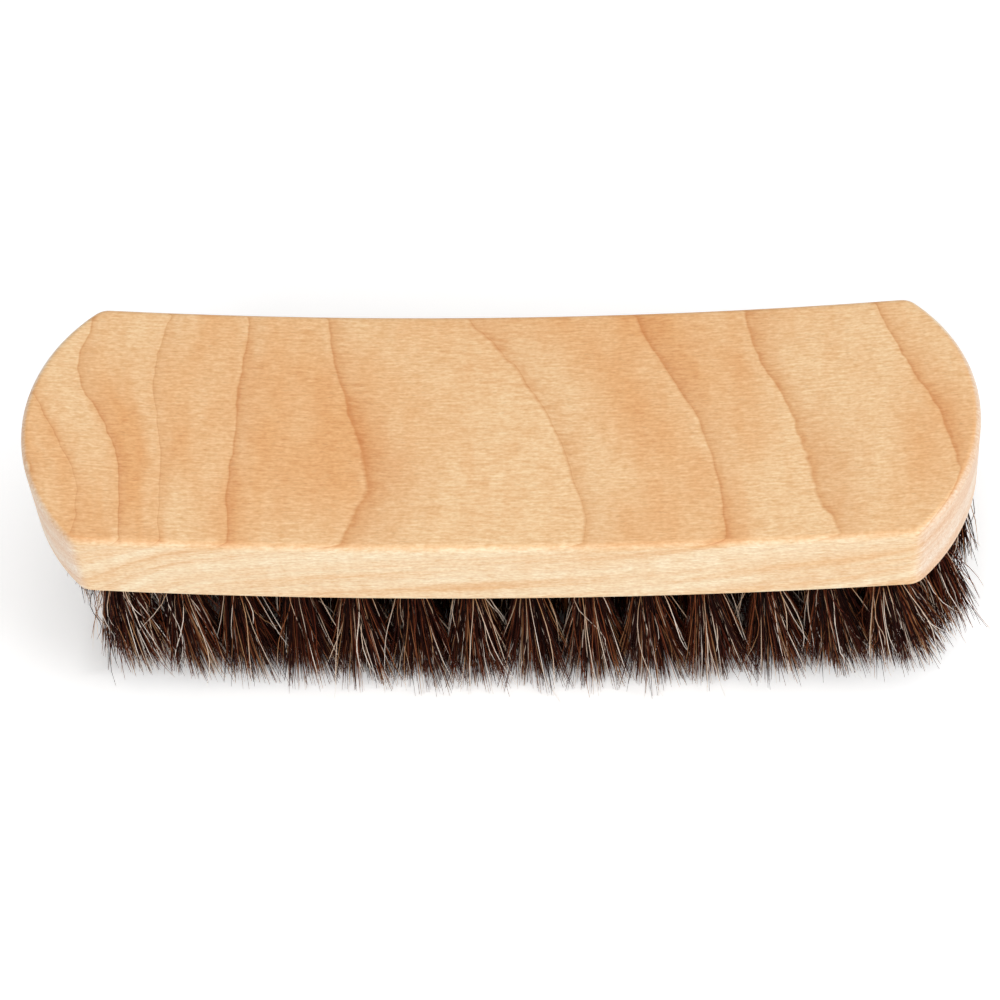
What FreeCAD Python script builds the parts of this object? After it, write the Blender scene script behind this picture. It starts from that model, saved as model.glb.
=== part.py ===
import FreeCAD, Part
import math
import os

import Sketcher
from FreeCAD import Vector

# A shoe shine brush: a bent maple block whose underside is drilled with rows of blind holes, and a
# horsehair tuft in each hole, folded over a flat wire anchor that is wedged across the hole.
# X runs along the brush, Y across it and Z up. Z is zero where the middle tufts touch the ground.
# Lengths are in millimetres and angles in degrees.

SIZES = {
    # The wood block. Its ends rise above its middle, and they bow outwards seen from above.
    "block_length": 170.0,
    "block_width": 52.0,
    "block_thickness": 16.0,
    "end_rise": 5.0,
    "end_bow": 11.5,
    "corner_radius": 3.8,
    "top_round": 1.3,
    "foot_bevel": 0.8,
    # The rows of holes. Each row has one hole fewer than the row next to it on the middle's side.
    "row_count": 5,
    "middle_row_count": 16,
    "end_margin": 7.0,
    "side_margin": 5.0,
    "hole_across_corners": 5.0,
    "hole_depth": 9.0,
    # The tufts. They lean outwards, and their tips are cut level in the middle and rise to the ends.
    "bristle_length": 22.0,
    "fan_along_angle": 12.0,
    "fan_across_angle": 12.0,
    "collar_length": 1.2,
    "tip_gap": 0.4,
    "level_span": 22.0,
    "tip_rise": 9.5,
    # The wire anchors, each under a loop of hair near the bottom of its hole.
    "wire_width": 2.0,
    "wire_thickness": 0.45,
    "loop_height": 1.5,
    # Clearance of each fit, and how far a cut runs past what it cuts.
    "fit_clearance": 0.05,
    "cut_overrun": 6.0,
}

# Tufts press each other into six-sided bundles, and a hole has the section of the bundle that it
# holds. Two corners of each lie across the brush, and half a side spans this angle.
TUFT_SIDES = 6
HALF_SIDE = "30 deg"
# A point this close to a surface lies on it.
ON_SURFACE = 0.001
# An edge is upright where its rise is at least this share of its length.
UPRIGHT_SHARE = 0.9

# What follows from the sizes, written as expressions on the sheet.
BEND_RADIUS = "((sizes.block_length / 2)^2 + sizes.end_rise^2) / (2 * sizes.end_rise)"
UNDERSIDE_RADIUS = f"({BEND_RADIUS} + sizes.block_thickness)"
BEND_CENTRE = f"(sizes.bristle_length + {UNDERSIDE_RADIUS})"
TOP_MIDDLE = "(sizes.bristle_length + sizes.block_thickness)"
TOP_END = f"({TOP_MIDDLE} + sizes.end_rise)"
CUT_REACH = "(sizes.block_length / 2 + sizes.cut_overrun)"
PITCH_ALONG = "((sizes.block_length - 2 * sizes.end_margin) / (sizes.middle_row_count - 1))"
PITCH_ACROSS = "((sizes.block_width - 2 * sizes.side_margin) / (sizes.row_count - 1))"
PITCH_SLANTED = f"sqrt(({PITCH_ALONG} / 2)^2 + {PITCH_ACROSS}^2)"
TIP_APOTHEM = f"((min({PITCH_ALONG}; {PITCH_SLANTED} * cos({HALF_SIDE})) - sizes.tip_gap) / 2)"
ROOT_RADIUS = "(sizes.hole_across_corners / 2 - sizes.fit_clearance)"
ROOT_APOTHEM = f"({ROOT_RADIUS} * cos({HALF_SIDE}))"
ROOT_TOP = "(sizes.hole_depth - sizes.fit_clearance)"
TUFT_REACH = "(sizes.bristle_length + sizes.cut_overrun)"
FLARE = f"({TIP_APOTHEM} - {ROOT_APOTHEM}) / (sizes.bristle_length - sizes.collar_length)"
SLOT_HALF_WIDTH = "(sizes.wire_thickness / 2 + sizes.fit_clearance)"
ANCHOR_LENGTH = f"(sizes.hole_across_corners - 2 * {SLOT_HALF_WIDTH} * tan({HALF_SIDE}))"
ANCHOR_BASE = "(sizes.hole_depth - sizes.loop_height - sizes.wire_width)"
TRIM_RUN = "(sizes.block_length / 2 - sizes.level_span / 2)"
TRIM_RADIUS = f"(({TRIM_RUN}^2 + sizes.tip_rise^2) / (2 * sizes.tip_rise))"
TRIM_REACH = "(sizes.block_length / 2 + 2 * sizes.cut_overrun)"

doc = FreeCAD.newDocument("shoe_shine_brush")
sheet = doc.addObject("Spreadsheet::Sheet", "sizes")


def fill_sheet():
    """Write each size into its own named cell."""
    for row, (name, number) in enumerate(SIZES.items(), start=1):
        sheet.set(f"A{row}", name)
        sheet.set(f"B{row}", str(number))
        sheet.setAlias(f"B{row}", name)
    doc.recompute()


def value(expression):
    """The number that an expression on the sheet gives."""
    return float(sheet.evalExpression(expression))


def new_body(name):
    return doc.addObject("PartDesign::Body", name)


def new_sketch(body, name, plane):
    """An empty sketch on one of the body's own origin planes."""
    sketch = body.newObject("Sketcher::SketchObject", name)
    support = next(item for item in body.Origin.OriginFeatures if item.Role == plane)
    sketch.AttachmentSupport = [(support, "")]
    sketch.MapMode = "FlatFace"
    return sketch


def line(start, end):
    return Part.LineSegment(Vector(*start, 0), Vector(*end, 0))


def arc(centre, radius, first, last):
    """A round edge that runs anticlockwise between two directions, in degrees."""
    circle = Part.Circle(Vector(*centre, 0), Vector(0, 0, 1), radius)
    return Part.ArcOfCircle(circle, math.radians(first), math.radians(last))


def draw_loop(sketch, edges):
    """Add edges that follow each other, and close them into a loop."""
    sketch.addGeometry(edges)
    for index in range(len(edges)):
        following = (index + 1) % len(edges)
        sketch.addConstraint(Sketcher.Constraint("Coincident", index, 2, following, 1))


def fix(sketch, *constraint):
    sketch.addConstraint(Sketcher.Constraint(*constraint))


def drive(sketch, name, expression, *constraint):
    """Add a dimension whose value comes from the sheet."""
    index = sketch.addConstraint(Sketcher.Constraint(*constraint, value(expression)))
    sketch.renameConstraint(index, name)
    sketch.setExpression(f"Constraints.{name}", expression)


def add_feature(body, kind, name, sketch):
    feature = body.newObject(kind, name)
    feature.Profile = sketch
    return feature


def cut_through(body, name, sketch):
    """Cut a sketch right through the body, to both sides of the sketch's plane."""
    pocket = add_feature(body, "PartDesign::Pocket", name, sketch)
    pocket.Type = "ThroughAll"
    pocket.SideType = "Symmetric"
    doc.recompute()
    if pocket.Shape.Volume >= pocket.BaseFeature.Shape.Volume:
        raise RuntimeError(f"{name} cuts nothing")
    return pocket


def dress_edges(body, kind, name, size, chosen):
    """Round or bevel every edge of the body that the test chooses."""
    base = body.Tip
    edges = [f"Edge{index}" for index, edge in enumerate(base.Shape.Edges, start=1) if chosen(edge)]
    feature = body.newObject(kind, name)
    feature.Base = (base, edges)
    feature.setExpression("Radius" if kind.endswith("Fillet") else "Size", size)
    doc.recompute()


def is_side(face):
    normal = face.normalAt(*face.Surface.parameter(face.CenterOfMass))
    return abs(normal.z) < UPRIGHT_SHARE


def is_upright(edge):
    chord = edge.Vertexes[-1].Point - edge.Vertexes[0].Point
    return abs(chord.z) > UPRIGHT_SHARE * edge.Length


def lies_on_bend(radius):
    """A test for edges that lie on the round surface of this radius about the bend's centre."""
    centre = value(BEND_CENTRE)
    reach = value(radius)

    def chosen(edge):
        points = [vertex.Point for vertex in edge.Vertexes]
        points.append(edge.valueAt((edge.FirstParameter + edge.LastParameter) / 2))
        return all(abs(math.hypot(point.x, point.z - centre) - reach) < ON_SURFACE for point in points)

    return chosen


def outline_sketch(body):
    """The block seen from above: straight sides, and ends that bow outwards."""
    bow_radius_rule = "((sizes.block_width / 2)^2 + sizes.end_bow^2) / (2 * sizes.end_bow)"
    bow_radius = value(bow_radius_rule)
    half_width = value("sizes.block_width / 2")
    corner = value("sizes.block_length / 2 - sizes.end_bow")
    centre = value("sizes.block_length / 2") - bow_radius
    spread = math.degrees(math.asin(half_width / bow_radius))
    sketch = new_sketch(body, "outline", "XY_Plane")
    sketch.setExpression("AttachmentOffset.Base.z", TOP_END)
    draw_loop(sketch, [
        line((-corner, -half_width), (corner, -half_width)),
        arc((centre, 0), bow_radius, -spread, spread),
        line((corner, half_width), (-corner, half_width)),
        arc((-centre, 0), bow_radius, 180 - spread, 180 + spread),
    ])
    fix(sketch, "Symmetric", 0, 1, 0, 2, -2)
    fix(sketch, "Symmetric", 2, 1, 2, 2, -2)
    fix(sketch, "Symmetric", 0, 2, 2, 1, -1)
    fix(sketch, "Equal", 1, 3)
    drive(sketch, "side_length", "sizes.block_length - 2 * sizes.end_bow", "DistanceX", 0, 1, 0, 2)
    drive(sketch, "width", "sizes.block_width", "DistanceY", 0, 2, 2, 1)
    drive(sketch, "bow_radius", bow_radius_rule, "Radius", 1)
    return sketch


def bend_sketch(body, name, radius_rule, limit_rule):
    """The region between a round of the bend, seen from the side, and a level line."""
    radius = value(radius_rule)
    centre = value(BEND_CENTRE)
    reach = value(CUT_REACH)
    limit = value(limit_rule)
    rim = centre - math.sqrt(radius**2 - reach**2)
    spread = math.degrees(math.asin(reach / radius))
    sketch = new_sketch(body, name, "XZ_Plane")
    draw_loop(sketch, [
        arc((0, centre), radius, 270 - spread, 270 + spread),
        line((reach, rim), (reach, limit)),
        line((reach, limit), (-reach, limit)),
        line((-reach, limit), (-reach, rim)),
    ])
    fix(sketch, "PointOnObject", 0, 3, -2)
    fix(sketch, "Vertical", 1)
    fix(sketch, "Horizontal", 2)
    fix(sketch, "Vertical", 3)
    drive(sketch, "radius", radius_rule, "Radius", 0)
    drive(sketch, "centre_height", BEND_CENTRE, "DistanceY", -1, 1, 0, 3)
    drive(sketch, "right_reach", CUT_REACH, "DistanceX", -1, 1, 1, 1)
    drive(sketch, "left_reach", CUT_REACH, "DistanceX", 3, 2, -1, 1)
    drive(sketch, "limit_height", limit_rule, "DistanceY", -1, 1, 1, 2)
    return sketch


def make_block_body():
    """The block before drilling: its outline padded downwards, then cut to the bend and rounded."""
    body = new_body("block_body")
    pad = add_feature(body, "PartDesign::Pad", "block_pad", outline_sketch(body))
    pad.Reversed = True
    pad.setExpression("Length", "sizes.block_thickness + sizes.end_rise + sizes.cut_overrun")
    doc.recompute()
    top_limit = f"{TOP_END} + sizes.cut_overrun"
    foot_limit = "sizes.bristle_length - 2 * sizes.cut_overrun"
    cut_through(body, "top_cut", bend_sketch(body, "top_bend", BEND_RADIUS, top_limit))
    cut_through(body, "foot_cut", bend_sketch(body, "foot_bend", UNDERSIDE_RADIUS, foot_limit))
    fillet = "PartDesign::Fillet"
    dress_edges(body, fillet, "corner_rounds", "sizes.corner_radius", is_upright)
    dress_edges(body, fillet, "top_rounds", "sizes.top_round", lies_on_bend(BEND_RADIUS))
    chamfer = "PartDesign::Chamfer"
    dress_edges(body, chamfer, "foot_bevels", "sizes.foot_bevel", lies_on_bend(UNDERSIDE_RADIUS))
    return body


def make_drill():
    """The room of one hole, from below its mouth up to its flat bottom."""
    drill = doc.addObject("Part::Prism", "drill")
    drill.Polygon = TUFT_SIDES
    drill.setExpression("Circumradius", "sizes.hole_across_corners / 2")
    drill.setExpression("Height", "sizes.hole_depth + sizes.cut_overrun")
    drill.setExpression("Placement.Base.z", "-sizes.cut_overrun")
    drill.setExpression("Placement.Rotation.Angle", HALF_SIDE)
    return drill


def make_anchor():
    """A flat wire anchor across its hole, its ends wedged into two corners of the wall."""
    anchor = doc.addObject("Part::Box", "anchor")
    anchor.setExpression("Length", "sizes.wire_thickness")
    anchor.setExpression("Width", ANCHOR_LENGTH)
    anchor.setExpression("Height", "sizes.wire_width")
    anchor.setExpression("Placement.Base.x", "-sizes.wire_thickness / 2")
    anchor.setExpression("Placement.Base.y", f"-{ANCHOR_LENGTH} / 2")
    anchor.setExpression("Placement.Base.z", ANCHOR_BASE)
    return anchor


def tuft_section_sketch(body, name, height_rule):
    """The section of a tuft's root, with flat sides towards its neighbours along the row."""
    radius = value(ROOT_RADIUS)
    turns = [math.pi * (2 * corner - 1) / TUFT_SIDES for corner in range(TUFT_SIDES + 1)]
    corners = [(radius * math.cos(turn), radius * math.sin(turn)) for turn in turns]
    sketch = new_sketch(body, name, "XY_Plane")
    sketch.setExpression("AttachmentOffset.Base.z", height_rule)
    draw_loop(sketch, [line(corners[side], corners[side + 1]) for side in range(TUFT_SIDES)])
    ring = sketch.addGeometry(Part.Circle(Vector(0, 0, 0), Vector(0, 0, 1), radius), True)
    fix(sketch, "Coincident", ring, 3, -1, 1)
    drive(sketch, "radius", ROOT_RADIUS, "Radius", ring)
    fix(sketch, "Vertical", 0)
    for side in range(TUFT_SIDES):
        fix(sketch, "PointOnObject", side, 1, ring)
        if side:
            fix(sketch, "Equal", 0, side)
    return sketch


def make_tuft_body():
    """One tuft before trimming: a root in the hole, and hair that flares below a short collar."""
    collar = "-sizes.collar_length"
    body = new_body("tuft_body")
    hair = add_feature(body, "PartDesign::Pad", "hair_pad", tuft_section_sketch(body, "hair", collar))
    hair.Reversed = True
    hair.setExpression("Length", f"{TUFT_REACH} - sizes.collar_length")
    doc.recompute()
    faces = list(enumerate(hair.Shape.Faces, start=1))
    flare = body.newObject("PartDesign::Draft", "flare")
    flare.Base = (hair, [f"Face{index}" for index, face in faces if is_side(face)])
    collar_face = max(faces, key=lambda item: item[1].CenterOfMass.z)[0]
    flare.NeutralPlane = (hair, [f"Face{collar_face}"])
    flare.setExpression("Angle", f"atan({FLARE})")
    doc.recompute()
    if flare.Shape.Volume <= hair.Shape.Volume:
        raise RuntimeError("the flare narrows the tuft")
    root = add_feature(body, "PartDesign::Pad", "root_pad", tuft_section_sketch(body, "root", collar))
    root.setExpression("Length", f"{ROOT_TOP} + sizes.collar_length")
    doc.recompute()
    cut_through(body, "anchor_window", window_sketch(body))
    return body


def window_sketch(body):
    """The opening through the fold of the tuft, where the anchor passes."""
    low_rule = f"({ANCHOR_BASE} - sizes.fit_clearance)"
    high_rule = f"({ANCHOR_BASE} + sizes.wire_width + sizes.fit_clearance)"
    half_width = value(SLOT_HALF_WIDTH)
    low = value(low_rule)
    high = value(high_rule)
    sketch = new_sketch(body, "window", "XZ_Plane")
    draw_loop(sketch, [
        line((-half_width, low), (half_width, low)),
        line((half_width, low), (half_width, high)),
        line((half_width, high), (-half_width, high)),
        line((-half_width, high), (-half_width, low)),
    ])
    fix(sketch, "Symmetric", 0, 1, 0, 2, -2)
    fix(sketch, "Vertical", 1)
    fix(sketch, "Horizontal", 2)
    fix(sketch, "Vertical", 3)
    drive(sketch, "half_width", SLOT_HALF_WIDTH, "DistanceX", -1, 1, 0, 2)
    drive(sketch, "low", low_rule, "DistanceY", -1, 1, 0, 2)
    drive(sketch, "high", high_rule, "DistanceY", -1, 1, 2, 1)
    return sketch


def make_trim_body():
    """All the room above the trimmed tips: level in the middle, rising along a round to each end."""
    radius = value(TRIM_RADIUS)
    half_level = value("sizes.level_span / 2")
    reach = value(TRIM_REACH)
    height_rule = f"{TOP_END} + sizes.cut_overrun"
    height = value(height_rule)
    spread = math.degrees(math.asin((reach - half_level) / radius))
    rim = radius - math.sqrt(radius**2 - (reach - half_level) ** 2)
    body = new_body("trim_body")
    sketch = new_sketch(body, "trim_profile", "XZ_Plane")
    draw_loop(sketch, [
        line((-half_level, 0), (half_level, 0)),
        arc((half_level, radius), radius, 270, 270 + spread),
        line((reach, rim), (reach, height)),
        line((reach, height), (-reach, height)),
        line((-reach, height), (-reach, rim)),
        arc((-half_level, radius), radius, 270 - spread, 270),
    ])
    fix(sketch, "Symmetric", 0, 1, 0, 2, -2)
    fix(sketch, "PointOnObject", 0, 1, -1)
    fix(sketch, "Vertical", 0, 2, 1, 3)
    fix(sketch, "Vertical", 0, 1, 5, 3)
    fix(sketch, "Equal", 1, 5)
    fix(sketch, "Vertical", 2)
    fix(sketch, "Horizontal", 3)
    fix(sketch, "Vertical", 4)
    drive(sketch, "level_span", "sizes.level_span", "DistanceX", 0, 1, 0, 2)
    drive(sketch, "radius", TRIM_RADIUS, "Radius", 1)
    drive(sketch, "right_reach", TRIM_REACH, "DistanceX", -1, 1, 2, 1)
    drive(sketch, "left_reach", TRIM_REACH, "DistanceX", 4, 2, -1, 1)
    drive(sketch, "height", height_rule, "DistanceY", -1, 1, 2, 2)
    pad = add_feature(body, "PartDesign::Pad", "trim_pad", sketch)
    pad.SideType = "Symmetric"
    pad.setExpression("Length", "2 * sizes.block_width")
    doc.recompute()
    return body


def tuft_places():
    """The columns of holes from one end of the brush to the other, half a pitch apart.

    Each column gives its number and, for each of its rows, the hole's place and lean. Both are
    counted from the middle of the brush, so the staggered rows fall into every other column.
    """
    rows = SIZES["row_count"]
    widest = SIZES["middle_row_count"] - 1
    for column in range(-widest, widest + 1):
        places = []
        for row in range(rows):
            from_middle = row - (rows - 1) / 2
            last = widest - abs(int(from_middle))
            if abs(column) <= last and (column - last) % 2 == 0:
                places.append(place_rule(column, from_middle))
        yield column + widest + 1, places


def place_rule(column, from_middle):
    """The placement of a hole's mouth on the underside, with its axis leaning into the block."""
    along = f"({column} * {PITCH_ALONG} / 2)"
    height = f"({BEND_CENTRE} - sqrt({UNDERSIDE_RADIUS}^2 - {along}^2))"
    across = f"({from_middle} * {PITCH_ACROSS})"
    pitch = f"(-sizes.fan_along_angle * {column} / (sizes.middle_row_count - 1))"
    roll = f"(sizes.fan_across_angle * {from_middle} * 2 / (sizes.row_count - 1))"
    return f"placement(vector({along}; {across}; {height}); rotation(0; {pitch}; {roll}))"


def copy_at(source, name, place):
    """A linked copy of an object at one hole."""
    link = doc.addObject("App::Link", name)
    link.LinkedObject = source
    link.LinkTransform = True
    link.setExpression("Placement", place)
    return link


def group(name, members):
    compound = doc.addObject("Part::Compound", name)
    compound.Links = members
    return compound


def build():
    """Make every piece of the brush and return the pieces by their names."""
    fill_sheet()
    block = make_block_body()
    drill = make_drill()
    anchor = make_anchor()
    tuft = make_tuft_body()
    trim = make_trim_body()
    pieces = []
    cutters = []
    anchors = []
    for number, places in tuft_places():
        tufts = []
        for row, place in enumerate(places, start=1):
            mark = f"{number:02d}_{row}"
            cutters.append(copy_at(drill, f"hole_{mark}", place))
            anchors.append(copy_at(anchor, f"anchor_{mark}", place))
            tufts.append(copy_at(tuft, f"tuft_{mark}", place))
        column = doc.addObject("Part::Common", f"tuft_column_{number:02d}")
        column.Base = group(f"untrimmed_column_{number:02d}", tufts)
        column.Tool = trim
        pieces.append(column)
    wood = doc.addObject("Part::Cut", "wood_block")
    wood.Base = block
    wood.Tool = group("holes", cutters)
    pieces.append(wood)
    pieces.append(group("wire_anchors", anchors))
    doc.recompute()
    return pieces


def check(pieces):
    """Stop if any object failed, or if a piece is empty or not a sound solid."""
    for item in doc.Objects:
        if "Invalid" in item.State or "Error" in item.State:
            raise RuntimeError(f"{item.Name} failed: {item.State}")
    for piece in pieces:
        if piece.Shape.isNull() or not piece.Shape.isValid() or not piece.Shape.Solids:
            raise RuntimeError(f"{piece.Label} is not a sound solid")


brush_pieces = build()
check(brush_pieces)
os.makedirs("parts", exist_ok=True)
for brush_piece in brush_pieces:
    brush_piece.Shape.exportStep(f"parts/{brush_piece.Label}.step")
    print(brush_piece.Label, len(brush_piece.Shape.Solids), round(brush_piece.Shape.Volume, 2))
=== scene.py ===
import math

import bmesh
import bpy
import numpy as np
from mathutils import Matrix, Vector


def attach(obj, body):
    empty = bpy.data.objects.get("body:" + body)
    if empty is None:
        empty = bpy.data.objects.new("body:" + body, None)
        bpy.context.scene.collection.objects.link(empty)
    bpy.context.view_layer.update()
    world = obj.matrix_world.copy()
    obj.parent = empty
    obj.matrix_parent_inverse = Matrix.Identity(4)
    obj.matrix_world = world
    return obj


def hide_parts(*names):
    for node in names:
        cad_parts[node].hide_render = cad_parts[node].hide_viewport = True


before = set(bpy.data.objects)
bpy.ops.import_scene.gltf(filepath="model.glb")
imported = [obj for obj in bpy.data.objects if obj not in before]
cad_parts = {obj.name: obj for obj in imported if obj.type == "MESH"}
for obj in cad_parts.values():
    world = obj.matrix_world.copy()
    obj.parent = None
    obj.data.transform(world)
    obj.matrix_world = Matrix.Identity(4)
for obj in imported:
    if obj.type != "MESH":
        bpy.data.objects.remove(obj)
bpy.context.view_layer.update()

# The block: one piece of pale hard maple, sawn to a bend with bowed ends, sanded round at its edges
# and left with a thin satin lacquer. The growth layers lie nearly level in it, so the dished top
# cuts them into wavy lines across the brush, and the long sides show them as flat streaks.
MM = 0.001
MAPLE_TOP = "#F7D8AC"
# The side and end colours are paler wood and also painted light, as if the sides and ends caught more
# lamp light than the top.
MAPLE_SIDE_WITH_PAINTED_LIGHT = "#FCEFD2"
MAPLE_END_WITH_PAINTED_LIGHT = "#F6ECE0"
# Tints laid over the bare colour: warm growth, the line that ends a layer, fibres and pores.
AMBER_TINT = "#F5DDC3"
LINE_TINT = "#E3BD92"
FIBRE_TINT = "#EDD8C0"
PORE_TINT = "#CDBBA6"
# The upward part of the normal where the top's colour starts to turn into the side's and where it
# has done so, and the lengthways part for the end grain.
side_facing = (0.93, 0.35)
end_facing = (0.15, 0.6)
# How far the top rises to its ends, how thick a layer is, and how far its line leans along the brush
# for each millimetre across.
end_rise_mm = 5.0
layer_thickness_mm = 3.4
layer_skew = 0.184
# How many layers the top has cut through, in powers of the distance from the middle in mm.
layer_count_rule = (4.88, 0.0288, -9.0e-5, 3.65e-6)
# Slow waves and small jags in the layers, and warm bands. A start says which stretch of the noise
# the block is cut from.
wave_sizes_mm = (37.5, 54.0, 40.0)
wave_start = (-9.83, 0.03, 22.87)
wave_reach_mm = 40.0
wave_detail = 0.5
jag_sizes_mm = (9.0, 5.5, 9.0)
jag_start = (0.0, 0.0, 0.0)
jag_reach_mm = 2.0
jag_detail = 2.0
band_sizes_mm = (70.7, 47.1)
bands_per_layer = 1.2
band_start = (-23.09, 8.83, 0.66)
band_detail = 2.5
band_levels = (0.38, 0.68)
# The strength of the line that ends a layer and of the growth that follows it, by the share of a
# layer passed. The number of the first layer says which lines come out clear, and breaks fade them.
line_profile = (
    (0.0, 0.75), (0.012, 0.65), (0.035, 0.42), (0.11, 0.2), (0.3, 0.0), (0.982, 0.0), (1.0, 0.75),
)
first_layer = 575
break_sizes_mm = (20.0, 9.0, 6.0)
break_detail = 1.5
clear_levels = (0.4, 1.3)
faintest_line = 0.15
side_line_share = 0.4
# Light ripples across the grain, two widths of fibre and short dark pores along it: size in mm,
# detail, the noise levels it fades in between, its most and its tint. Real fibres and pores are
# finer, and are drawn as coarse as they need to be to show.
grain_kinds = (
    ((2.6, 11.0, 7.0), 2.0, 0.42, 0.75, 0.3, AMBER_TINT),
    ((2.8, 0.42, 0.45), 2.0, 0.3, 0.7, 0.75, FIBRE_TINT),
    ((0.8, 0.42, 0.42), 1.0, 0.3, 0.7, 0.6, FIBRE_TINT),
    ((1.5, 0.22, 0.22), 2.0, 0.58, 0.8, 0.4, PORE_TINT),
)
pore_depth = 0.02 * MM


def linear(code):
    """The linear colour of an sRGB hex code."""
    parts = [int(code[place:place + 2], 16) / 255 for place in (1, 3, 5)]
    return [part / 12.92 if part <= 0.04045 else ((part + 0.055) / 1.055) ** 2.4 for part in parts] + [1]


def add(tree, kind, inputs=None, stops=(), **settings):
    """Add a node with its settings and colour stops, and give each input a value or a link."""
    node = tree.nodes.new("ShaderNode" + kind)
    for name, setting in settings.items():
        setattr(node, name, setting)
    for index, (position, colour) in enumerate(stops):
        stop = node.color_ramp.elements[index] if index < 2 else node.color_ramp.elements.new(position)
        stop.position = position
        stop.color = colour
    for key, source in (inputs or {}).items():
        if isinstance(source, bpy.types.NodeSocket):
            tree.links.new(source, node.inputs[key])
        else:
            node.inputs[key].default_value = source
    return node


def new_material(name):
    """An empty node material, and the tree that its nodes go into."""
    material = bpy.data.materials.new(name)
    material.use_nodes = True
    material.node_tree.nodes.clear()
    return material, material.node_tree


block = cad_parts["wood_block"]
block_corners_mm = np.array([corner[:] for corner in block.bound_box]) / MM
half_length_mm = block_corners_mm[:, 0].max()
middle_top_mm = block_corners_mm[:, 2].max() - end_rise_mm

maple, tree = new_material("lacquered_hard_maple")
place = add(tree, "TexCoord").outputs
place_mm = add(tree, "VectorMath", {0: place["Object"], "Scale": 1 / MM}, operation="SCALE").outputs[0]
axes = add(tree, "SeparateXYZ", {0: place_mm}).outputs
# The waves and jags shift the layers along the brush.
along = add(tree, "Math", {0: axes[1], 1: layer_skew, 2: axes[0]}, operation="MULTIPLY_ADD").outputs[0]
for sizes_mm, start, reach, detail in (
    (wave_sizes_mm, wave_start, wave_reach_mm, wave_detail),
    (jag_sizes_mm, jag_start, jag_reach_mm, jag_detail),
):
    scale = [1 / size for size in sizes_mm]
    spot = add(tree, "Mapping", {0: place_mm, "Location": start, "Scale": scale}).outputs[0]
    shift = add(tree, "TexNoise", {"Vector": spot, "Scale": 1.0, "Detail": detail}).outputs["Fac"]
    shift = add(tree, "Math", {0: shift, 1: reach, 2: -reach / 2}, operation="MULTIPLY_ADD").outputs[0]
    along = add(tree, "Math", {0: along, 1: shift}).outputs[0]
cut = layer_count_rule[3]
for power in (2, 1, 0):
    cut = add(
        tree, "Math", {0: cut, 1: along, 2: layer_count_rule[power]}, operation="MULTIPLY_ADD"
    ).outputs[0]
# Each point lies some way down in the layers that the dished top has cut.
rise = add(tree, "Math", {0: axes[0], 1: half_length_mm}, operation="DIVIDE").outputs[0]
rise = add(tree, "Math", {0: rise, 1: rise}, operation="MULTIPLY").outputs[0]
dish = add(
    tree, "Math", {0: rise, 1: end_rise_mm, 2: middle_top_mm}, operation="MULTIPLY_ADD"
).outputs[0]
depth = add(tree, "Math", {0: dish, 1: axes[2]}, operation="SUBTRACT").outputs[0]
layer = add(
    tree, "Math", {0: depth, 1: 1 / layer_thickness_mm, 2: cut}, operation="MULTIPLY_ADD"
).outputs[0]
within = add(tree, "Math", {0: layer}, operation="FRACT").outputs[0]
number = add(tree, "Math", {0: layer}, operation="FLOOR").outputs[0]
# The sides, cut across the layers, are paler than the top, and the end grain is the palest; part of that
# paleness is painted light, as if the lamps lit the sides and ends more than the top.
facing = add(tree, "SeparateXYZ", {0: place["Normal"]}).outputs
sideways = add(
    tree, "MapRange", {"Value": facing[2], "From Min": side_facing[0], "From Max": side_facing[1]}
).outputs[0]
colour = add(
    tree, "Mix", {0: sideways, 6: linear(MAPLE_TOP), 7: linear(MAPLE_SIDE_WITH_PAINTED_LIGHT)}, data_type="RGBA"
).outputs[2]
endways = add(tree, "Math", {0: facing[0]}, operation="ABSOLUTE").outputs[0]
endways = add(
    tree, "MapRange", {"Value": endways, "From Min": end_facing[0], "From Max": end_facing[1]}
).outputs[0]
colour = add(tree, "Mix", {0: endways, 6: colour, 7: linear(MAPLE_END_WITH_PAINTED_LIGHT)}, data_type="RGBA").outputs[2]
# Warm growth comes and goes from layer to layer and along each one.
spot = add(tree, "CombineXYZ", {0: axes[0], 1: axes[1], 2: layer}).outputs[0]
scale = (1 / band_sizes_mm[0], 1 / band_sizes_mm[1], bands_per_layer)
spot = add(tree, "Mapping", {0: spot, "Location": band_start, "Scale": scale}).outputs[0]
band = add(tree, "TexNoise", {"Vector": spot, "Scale": 1.0, "Detail": band_detail}).outputs["Fac"]
band_share = add(
    tree, "MapRange", {"Value": band, "From Min": band_levels[0], "From Max": band_levels[1]}
).outputs[0]
# A thin line ends each layer, clear in some and faint in others, and warm growth follows it.
stops = [(position, (level, level, level, 1)) for position, level in line_profile]
edge = add(tree, "ValToRGB", {0: within}, stops=stops).outputs[0]
number = add(tree, "Math", {0: number, 1: first_layer}).outputs[0]
strength = add(tree, "TexWhiteNoise", {"W": number}, noise_dimensions="1D").outputs["Value"]
spot = add(tree, "Mapping", {0: place_mm, "Scale": [1 / size for size in break_sizes_mm]}).outputs[0]
broken = add(tree, "TexNoise", {"Vector": spot, "Scale": 1.0, "Detail": break_detail}).outputs["Fac"]
clear = add(tree, "Math", {0: strength, 1: broken}).outputs[0]
clear = add(tree, "MapRange", {
    "Value": clear, "From Min": clear_levels[0], "From Max": clear_levels[1], "To Min": faintest_line,
}).outputs[0]
line_share = add(tree, "Math", {0: clear, 1: edge}, operation="MULTIPLY").outputs[0]
fainter = add(
    tree, "MapRange", {"Value": sideways, "To Min": 1.0, "To Max": side_line_share}
).outputs[0]
line_share = add(tree, "Math", {0: line_share, 1: fainter}, operation="MULTIPLY").outputs[0]
stains = [(band_share, AMBER_TINT), (line_share, LINE_TINT)]
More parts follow.
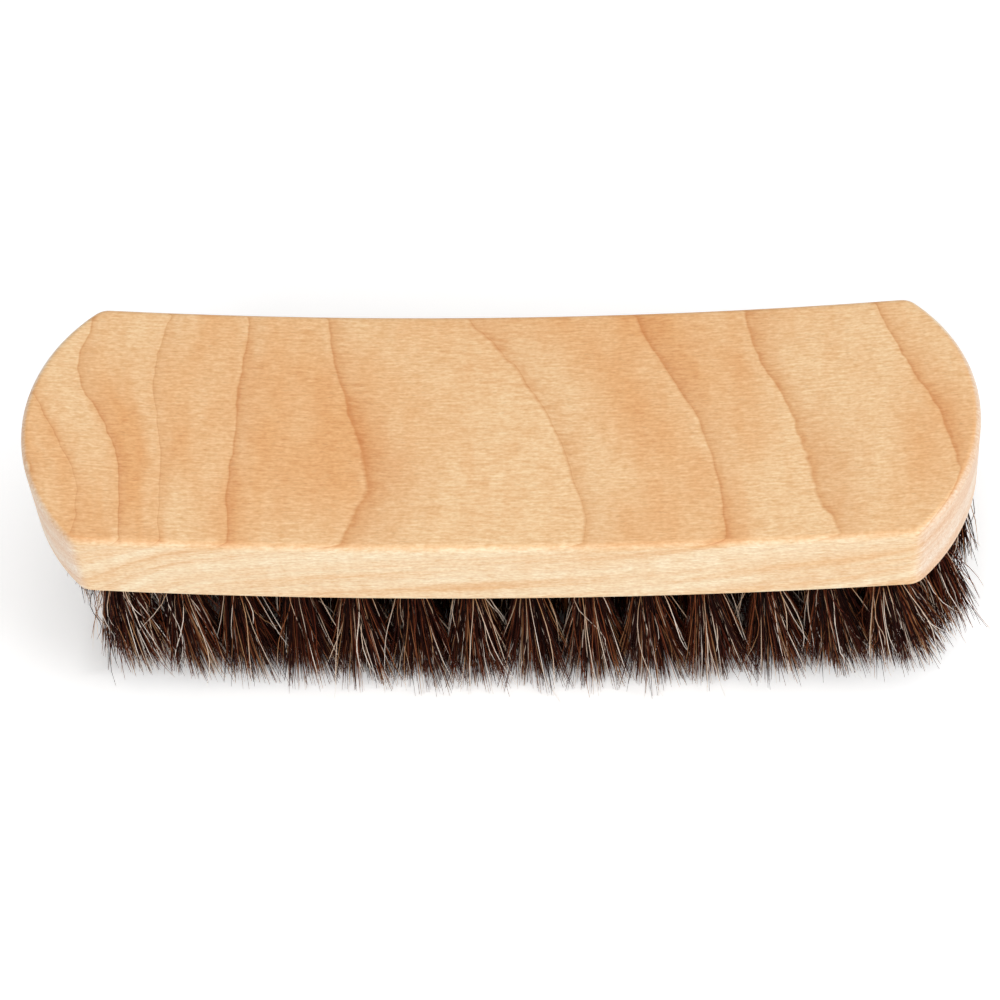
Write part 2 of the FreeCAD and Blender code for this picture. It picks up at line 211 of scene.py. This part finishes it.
for sizes_mm, detail, low, high, most, tint in grain_kinds:
    spot = add(tree, "Mapping", {0: place_mm, "Scale": [1 / size for size in sizes_mm]}).outputs[0]
    grain = add(tree, "TexNoise", {"Vector": spot, "Scale": 1.0, "Detail": detail}).outputs["Fac"]
    share = add(
        tree, "MapRange", {"Value": grain, "From Min": low, "From Max": high, "To Max": most}
    ).outputs[0]
    stains.append((share, tint))
for share, tint in stains:
    stain = {0: share, 6: colour, 7: linear(tint)}
    colour = add(tree, "Mix", stain, data_type="RGBA", blend_type="MULTIPLY").outputs[2]
# The lacquer lies thin over the pores, the last kind of grain, so they still dimple its soft sheen.
bump = add(tree, "Bump", {"Height": grain, "Strength": 0.1, "Distance": pore_depth}).outputs[0]
maple_look = {"Base Color": colour, "Roughness": 0.42, "IOR": 1.5, "Normal": bump}
surface = add(tree, "BsdfPrincipled", maple_look)
add(tree, "OutputMaterial", {0: surface.outputs[0]})
block.data.materials.clear()
block.data.materials.append(maple)

# The anchors: short pieces of flat steel wire, wedged across each hole over the fold of its tuft.
# Drawn wire has fine lines along its length, which streak its shine.
STEEL_BRIGHT = "#B9BABC"
line_sizes_mm = (0.05, 2.0, 0.05)
line_roughness = (0.25, 0.5)
steel, tree = new_material("drawn_steel_wire")
place = add(tree, "TexCoord").outputs["Object"]
scale = [1 / (size * MM) for size in line_sizes_mm]
spot = add(tree, "Mapping", {0: place, "Scale": scale}).outputs[0]
lines = add(tree, "TexNoise", {"Vector": spot, "Scale": 1.0}).outputs["Fac"]
dullness = add(
    tree, "MapRange", {"Value": lines, "To Min": line_roughness[0], "To Max": line_roughness[1]}
).outputs[0]
steel_look = {"Base Color": linear(STEEL_BRIGHT), "Metallic": 1.0, "Roughness": dullness}
surface = add(tree, "BsdfPrincipled", steel_look)
add(tree, "OutputMaterial", {0: surface.outputs[0]})
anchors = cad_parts["wire_anchors"]
anchors.data.materials.clear()
anchors.data.materials.append(steel)

# The tufts: bundles of horsehair, each folded double into its hole and fanned out below the block.
# The hair is mixed black and brown with some pale strands, a little wavy, and sheared to a level.
HAIR_TONES = (
    (0.0, "#0B0302"), (0.3, "#2F100A"), (0.5, "#5B2716"), (0.68, "#854B2C"),
    (0.8, "#AF845C"), (0.88, "#D8BCA3"), (1.0, "#FDF1E6"),
)
# The hairs of a tuft, most of them trimmed and some loose: how many, points on each, size of its
# waves, radius in mm, shares of dark, brown and pale hair, and the range of length past the cut in mm.
hair_kinds = (
    (530, 5, 0.5 * MM, 0.09, (0.73, 0.215, 0.055), (-1.2, 0.6)),
    (46, 9, 1.6 * MM, 0.085, (0.27, 0.34, 0.39), (-6.0, 2.2)),
)
# The tones that dark, brown and pale hairs begin and end at, and the lean of the draw between them.
tone_starts = np.array((0.0, 0.5, 0.87))
tone_ends = np.array((0.5, 0.84, 1.0))
tone_lean = (1.3, 1.6)
# Along a hair, by the share of its length, the root is darker, a painted shade for the shadow among the
# packed hairs, and the tip is paler, a painted light for light shining through it; the tip is also
# thinner. The hair at the left end is a little paler all along.
painted_shade_and_light_along = ((0.0, 0.35, 0.6, 0.8, 1.0), (-0.25, 0.0, 0.0, 0.05, 0.27))
taper_along = ((0.0, 0.75, 1.0), (1.0, 0.95, 0.35))
left_paler = 0.15
tone_steps = 48
chart_width = 0.01
# The hair is drawn from just inside the mouth of its hole. The rest, up to the fold, is out of sight.
hole_depth = 9.0 * MM
hidden_length = 1.5 * MM
root_radius = 2.2 * MM
# Corners of a plain tuft this near its top are its root, and corners this near each other are one.
root_band = 1.0 * MM
weld_distance = 0.001 * MM
# How wide the tips fan out, in shares of the plain tuft, along and across the brush. A higher flare
# keeps a tuft narrow for longer.
tip_fullness = np.array((1.7, 1.15))
flare = 1.3
# Towards the ends of the brush the tufts are fuller, denser and untidier.
end_fullness = np.array((1.8, 1.3))
end_flare = 1.0
end_crowding = 0.7
end_straying = 0.8
# How far hairs cross over, how far clumps pull their tips together, and how far they bow and curl in
# shares of the size of their waves.
crossing = 0.4
clump_count = 36
clump_pull = 0.8
bow_share = 0.6
curl_share = 0.3
# Hair that would sink into the floor stays this far above it, and slides out by a share of the rest.
floor_clearance = 0.15 * MM
floor_splay = 0.8
# How far tips are combed to the right: at the left end and in the middle. At the right end each row
# is combed its own way, given from the front row to the back one, along the brush and across it.
comb_left = 6.0 * MM
comb_middle = 0.5 * MM
row_pitch = 10.5 * MM
comb_rows = np.arange(-2, 3) * row_pitch
comb_right_along = np.array((1.5, 2.0, -5.0, -6.5, -4.5)) * MM
comb_right_across = np.array((0.0, -8.0, -9.0, -4.0, 0.0)) * MM
comb_from = 45.0 * MM
comb_over = 30.0 * MM
comb_bend = 1.3
hair_seed = 11
draw = np.random.RandomState(hair_seed)

# Horsehair is a horn-like fibre with fine scales, which leave its dark strands only a soft gloss.
horsehair, tree = new_material("dark_horsehair")
chart = add(tree, "UVMap", uv_map="OFBake").outputs[0]
tone = add(tree, "SeparateXYZ", {0: chart}).outputs[0]
stops = [(position, linear(code)) for position, code in HAIR_TONES]
colour = add(tree, "ValToRGB", {0: tone}, stops=stops).outputs[0]
hair_look = {"Base Color": colour, "Roughness": 0.5, "IOR": 1.5, "Specular IOR Level": 0.06}
surface = add(tree, "BsdfPrincipled", hair_look)
add(tree, "OutputMaterial", {0: surface.outputs[0]})


def tufts_of(node):
    """The corners of each separate tuft in a column, as one array per tuft."""
    mesh = bmesh.new()
    mesh.from_mesh(node.data)
    bmesh.ops.remove_doubles(mesh, verts=mesh.verts, dist=weld_distance)
    found = set()
    tufts = []
    for first in mesh.verts:
        if first in found:
            continue
        found.add(first)
        island = [first]
        for corner in island:
            for edge in corner.link_edges:
                other = edge.other_vert(corner)
                if other not in found:
                    found.add(other)
                    island.append(other)
        tufts.append(np.array([corner.co for corner in island]))
    mesh.free()
    return tufts


def end_share(corners):
    """How far a tuft stands out towards an end of the brush, from none to one."""
    return np.clip((abs(corners[:, 0].mean()) - comb_from) / comb_over, 0, 1)


def in_disc(count):
    """Places spread evenly over a disc of radius one."""
    turn = draw.uniform(0, 2 * math.pi, count)
    reach = np.sqrt(draw.uniform(0, 1, count))
    return np.stack([reach * np.cos(turn), reach * np.sin(turn)], axis=1)


def hair_paths(corners, count, points_each, waviness, overlength):
    """The points of some hairs of one tuft, from just inside its hole to their sheared tips."""
    middle = (corners[:, 2].min() + corners[:, 2].max()) / 2
    tips = corners[corners[:, 2] < middle]
    tops = corners[corners[:, 2] > corners[:, 2].max() - root_band]
    root = tops.mean(axis=0)
    tip = tips.mean(axis=0)
    length = np.linalg.norm(tip - root)
    down = (tip - root) / length
    side = np.cross((0, 1, 0), down)
    side /= np.linalg.norm(side)
    fore = np.cross(down, side)
    tip_radius = np.linalg.norm(tips - tip, axis=1).max()
    level = np.linalg.lstsq(np.c_[np.ones(len(tips)), tips[:, :2]], tips[:, 2], rcond=None)[0]

    # Tips gather in clumps, and some hairs cross over to the other side of the tuft.
    root_place = in_disc(count)
    tip_place = root_place * (1 - crossing) + in_disc(count) * crossing
    clumps = in_disc(clump_count)
    nearest = np.argmin(((tip_place[:, None] - clumps[None]) ** 2).sum(axis=2), axis=1)
    pull = draw.uniform(0, clump_pull, count)[:, None]
    tip_place = (tip_place * (1 - pull) + clumps[nearest] * pull) * tip_radius
    tip_place *= tip_fullness + (end_fullness - tip_fullness) * end_share(corners)
    tip_place += draw.normal(0, waviness, (count, 2))
    share = np.linspace(0, 1, points_each)[None, :, None]
    bow = draw.normal(0, waviness * bow_share, (count, 2))[:, None] * np.sin(math.pi * share)
    curl = draw.normal(0, waviness * curl_share, (count, 2))[:, None] * np.sin(2 * math.pi * share)
    spread = share ** (flare + (end_flare - flare) * end_share(corners))
    aside = root_place[:, None] * root_radius * (1 - share) + tip_place[:, None] * spread + bow + curl

    # Each hair is cut where it meets the sheared face of its tuft.
    ends = tip + tip_place[:, :1] * side + tip_place[:, 1:] * fore
    face = level[0] + ends[:, :2] @ level[1:]
    start = hole_depth - hidden_length
    run = length - start + (ends[:, 2] - face) / -down[2] + overlength
    points = root + (start + run[:, None, None] * share) * down
    points = points + aside[..., :1] * side + aside[..., 1:] * fore
    left = np.clip(-root[0] / (comb_from + comb_over), 0, 1)
    right = np.clip((root[0] - comb_from) / comb_over, 0, 1)
    comb_along = comb_middle + (comb_left - comb_middle) * left
    comb_along += (np.interp(root[1], comb_rows, comb_right_along) - comb_middle) * right
    comb_across = np.interp(root[1], comb_rows, comb_right_across) * right
    points[..., :2] += np.array((comb_along, comb_across)) * share ** comb_bend

    # Hair that is too long for the floor bends outwards along it.
    outward = points[:, -1, :2] - points[:, 0, :2]
    outward /= np.maximum(np.linalg.norm(outward, axis=1), floor_clearance)[:, None]
    below = np.maximum(floor_clearance - points[..., 2], 0)
    points[..., 2] += below
    points[..., :2] += below[..., None] * outward[:, None] * floor_splay
    return points


# Hairs are drawn three-sided, and a little thicker than real ones so that each still shows.
section = bpy.data.curves.new("hair_section", "CURVE")
section.dimensions = "2D"
triangle = section.splines.new("POLY")
triangle.points.add(2)
for corner in range(3):
    turn = 2 * math.pi * corner / 3
    triangle.points[corner].co = (MM * math.cos(turn), MM * math.sin(turn), 0, 1)
triangle.use_cyclic_u = True
section_piece = bpy.data.objects.new("hair_section", section)
bpy.context.scene.collection.objects.link(section_piece)

for name in sorted(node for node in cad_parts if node.startswith("tuft_column")):
    curve = bpy.data.curves.new(name + "_lines", "CURVE")
    curve.dimensions = "3D"
    curve.bevel_mode = "OBJECT"
    curve.bevel_object = section_piece
    curve.use_fill_caps = True
    # One material slot for each step of tone carries the tone of a hair to its faces.
    for step in range(tone_steps):
        curve.materials.append(horsehair)
    for corners in tufts_of(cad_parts[name]):
        endmost = end_share(corners)
        leftmost = np.clip(-corners[:, 0].mean() / comb_from - 1, 0, 1)
        for count, points_each, waviness, radius_mm, shares, overlength in hair_kinds:
            count = int(count * (1 + end_crowding * endmost))
            over = draw.uniform(overlength[0], overlength[1], count) * MM
            straying = waviness * (1 + end_straying * endmost)
            paths = hair_paths(corners, count, points_each, straying, over)
            kinds = draw.choice(3, count, p=shares)
            tones = tone_starts[kinds] + (tone_ends - tone_starts)[kinds] * draw.beta(*tone_lean, count)
            tones = np.minimum(tones + left_paler * leftmost, 1)
            taper = radius_mm * np.interp(np.linspace(0, 1, points_each), *taper_along)
            for path, hair_tone in zip(paths, tones):
                spline = curve.splines.new("POLY")
                spline.points.add(points_each - 1)
                spline.points.foreach_set("co", np.c_[path, np.ones(points_each)].ravel())
                spline.points.foreach_set("radius", taper)
                spline.material_index = int(hair_tone * (tone_steps - 1))
    hair_lines = bpy.data.objects.new(name + "_lines", curve)
    bpy.context.scene.collection.objects.link(hair_lines)
    drawn = hair_lines.evaluated_get(bpy.context.evaluated_depsgraph_get())
    mesh = bpy.data.meshes.new_from_object(drawn)
    bpy.data.objects.remove(hair_lines)

    # The chart holds the tone of a hair across, with the painted root shade and tip light added to it,
    # and the way along it upwards. Caps count as tips, and a little width keeps the chart of a hair from
    # folding to a line.
    sides = np.zeros(len(mesh.polygons), int)
    steps = np.zeros(len(mesh.polygons), int)
    mesh.polygons.foreach_get("loop_total", sides)
    mesh.polygons.foreach_get("material_index", steps)
    hair_chart = mesh.uv_layers[0]
    hair_chart.name = "OFBake"
    places = np.zeros(len(mesh.loops) * 2)
    hair_chart.uv.foreach_get("vector", places)
    way, around = places.reshape(-1, 2).T
    way = np.where(np.repeat(sides, sides) == 3, 1, way)
    shade = np.repeat(steps, sides) / tone_steps
    shade += np.interp(way, *painted_shade_and_light_along) + chart_width * around
    hair_chart.uv.foreach_set("vector", np.c_[np.clip(shade, 0, 1), way].ravel())
    mesh.materials.clear()
    mesh.materials.append(horsehair)
    mesh.polygons.foreach_set("material_index", np.zeros_like(steps))
    piece = bpy.data.objects.new(name.replace("tuft_column", "hair_column"), mesh)
    bpy.context.scene.collection.objects.link(piece)
    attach(piece, "root")
    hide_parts(name)
bpy.data.objects.remove(section_piece)

# The stage: a white paper floor that the tips stand on, large soft lamps and white surroundings.
# The paper glows for the eye only, except under the brush, so that its shadow stays.
PAPER_WHITE = "#F3F3F3"
floor_size = 6.0
glow_strength = 0.28
# Half the length and width of the floor under the brush, and the share of it that has no glow.
shade_reach = (80.0 * MM, 27.5 * MM)
shade_core_share = 0.8
floor_mesh = bmesh.new()
bmesh.ops.create_grid(floor_mesh, x_segments=1, y_segments=1, size=floor_size / 2)
floor_data = bpy.data.meshes.new("floor")
floor_mesh.to_mesh(floor_data)
floor_mesh.free()
floor = bpy.data.objects.new("floor", floor_data)
bpy.context.scene.collection.objects.link(floor)
paper, tree = new_material("white_paper")
rays = add(tree, "LightPath").outputs
seen = add(tree, "Math", {0: rays["Is Camera Ray"], 1: rays["Is Glossy Ray"]}).outputs[0]
seen = add(tree, "Math", {0: seen, 1: rays["Is Transmission Ray"]}).outputs[0]
axes = add(tree, "SeparateXYZ", {0: add(tree, "TexCoord").outputs["Object"]}).outputs
reaches = []
for axis, reach in zip(axes, shade_reach):
    size = add(tree, "Math", {0: axis}, operation="ABSOLUTE").outputs[0]
    reaches.append(add(tree, "Math", {0: size, 1: reach}, operation="DIVIDE").outputs[0])
far = add(tree, "Math", {0: reaches[0], 1: reaches[1]}, operation="MAXIMUM").outputs[0]
glow = add(tree, "MapRange", {
    "Value": far, "From Min": shade_core_share, "From Max": 1.0, "To Max": glow_strength,
}).outputs[0]
glow = add(tree, "Math", {0: seen, 1: glow}, operation="MULTIPLY").outputs[0]
glow = add(tree, "Emission", {"Strength": glow}).outputs[0]
matte = add(tree, "BsdfDiffuse", {"Color": linear(PAPER_WHITE)}).outputs[0]
both = add(tree, "AddShader", {0: glow, 1: matte}).outputs[0]
add(tree, "OutputMaterial", {0: both})
floor_data.materials.append(paper)

# The surroundings look white and light the brush more softly than that.
surround_light = 0.35
world = bpy.data.worlds.new("studio")
bpy.context.scene.world = world
world.use_nodes = True
tree = world.node_tree
tree.nodes.clear()
seen = add(tree, "LightPath").outputs["Is Camera Ray"]
level = add(tree, "MapRange", {"Value": seen, "To Min": surround_light, "To Max": 1.0}).outputs[0]
sky = add(tree, "Background", {"Color": (1, 1, 1, 1), "Strength": level}).outputs[0]
add(tree, "OutputWorld", {0: sky})

# Each lamp: its name, its place and width in metres, and its power in watts.
for name, at, width, power in (
    ("front_lamp", (-0.25, -0.9, 0.75), 0.9, 7.2),
    ("top_lamp", (0.25, 0.25, 1.2), 1.2, 5.0),
    ("right_lamp", (0.9, -0.3, 0.6), 0.7, 4.9),
):
    lamp_data = bpy.data.lights.new(name, "AREA")
    lamp_data.shape = "SQUARE"
    lamp_data.size = width
    lamp_data.energy = power
    lamp = bpy.data.objects.new(name, lamp_data)
    lamp.location = at
    lamp.rotation_euler = Vector(at).to_track_quat("Z", "Y").to_euler()
    bpy.context.scene.collection.objects.link(lamp)

# The camera looks down on the front of the brush, a little from its right and tilted.
camera_aim = Vector((0.26, -10.26, 30.68)) * MM
camera_distance = 588.7 * MM
camera_around = math.radians(7.216)
camera_above = math.radians(54.263)
camera_tilt = math.radians(-6.389)
camera_data = bpy.data.cameras.new("camera")
camera_data.lens = 119.22
camera_data.sensor_width = 36.0
camera = bpy.data.objects.new("camera", camera_data)
camera.matrix_world = (
    Matrix.Translation(camera_aim)
    @ Matrix.Rotation(camera_around, 4, "Z")
    @ Matrix.Rotation(math.pi / 2 - camera_above, 4, "X")
    @ Matrix.Rotation(camera_tilt, 4, "Z")
    @ Matrix.Translation((0, 0, camera_distance))
)
bpy.context.scene.collection.objects.link(camera)
bpy.context.scene.camera = camera
bpy.context.scene.view_settings.view_transform = "Standard"
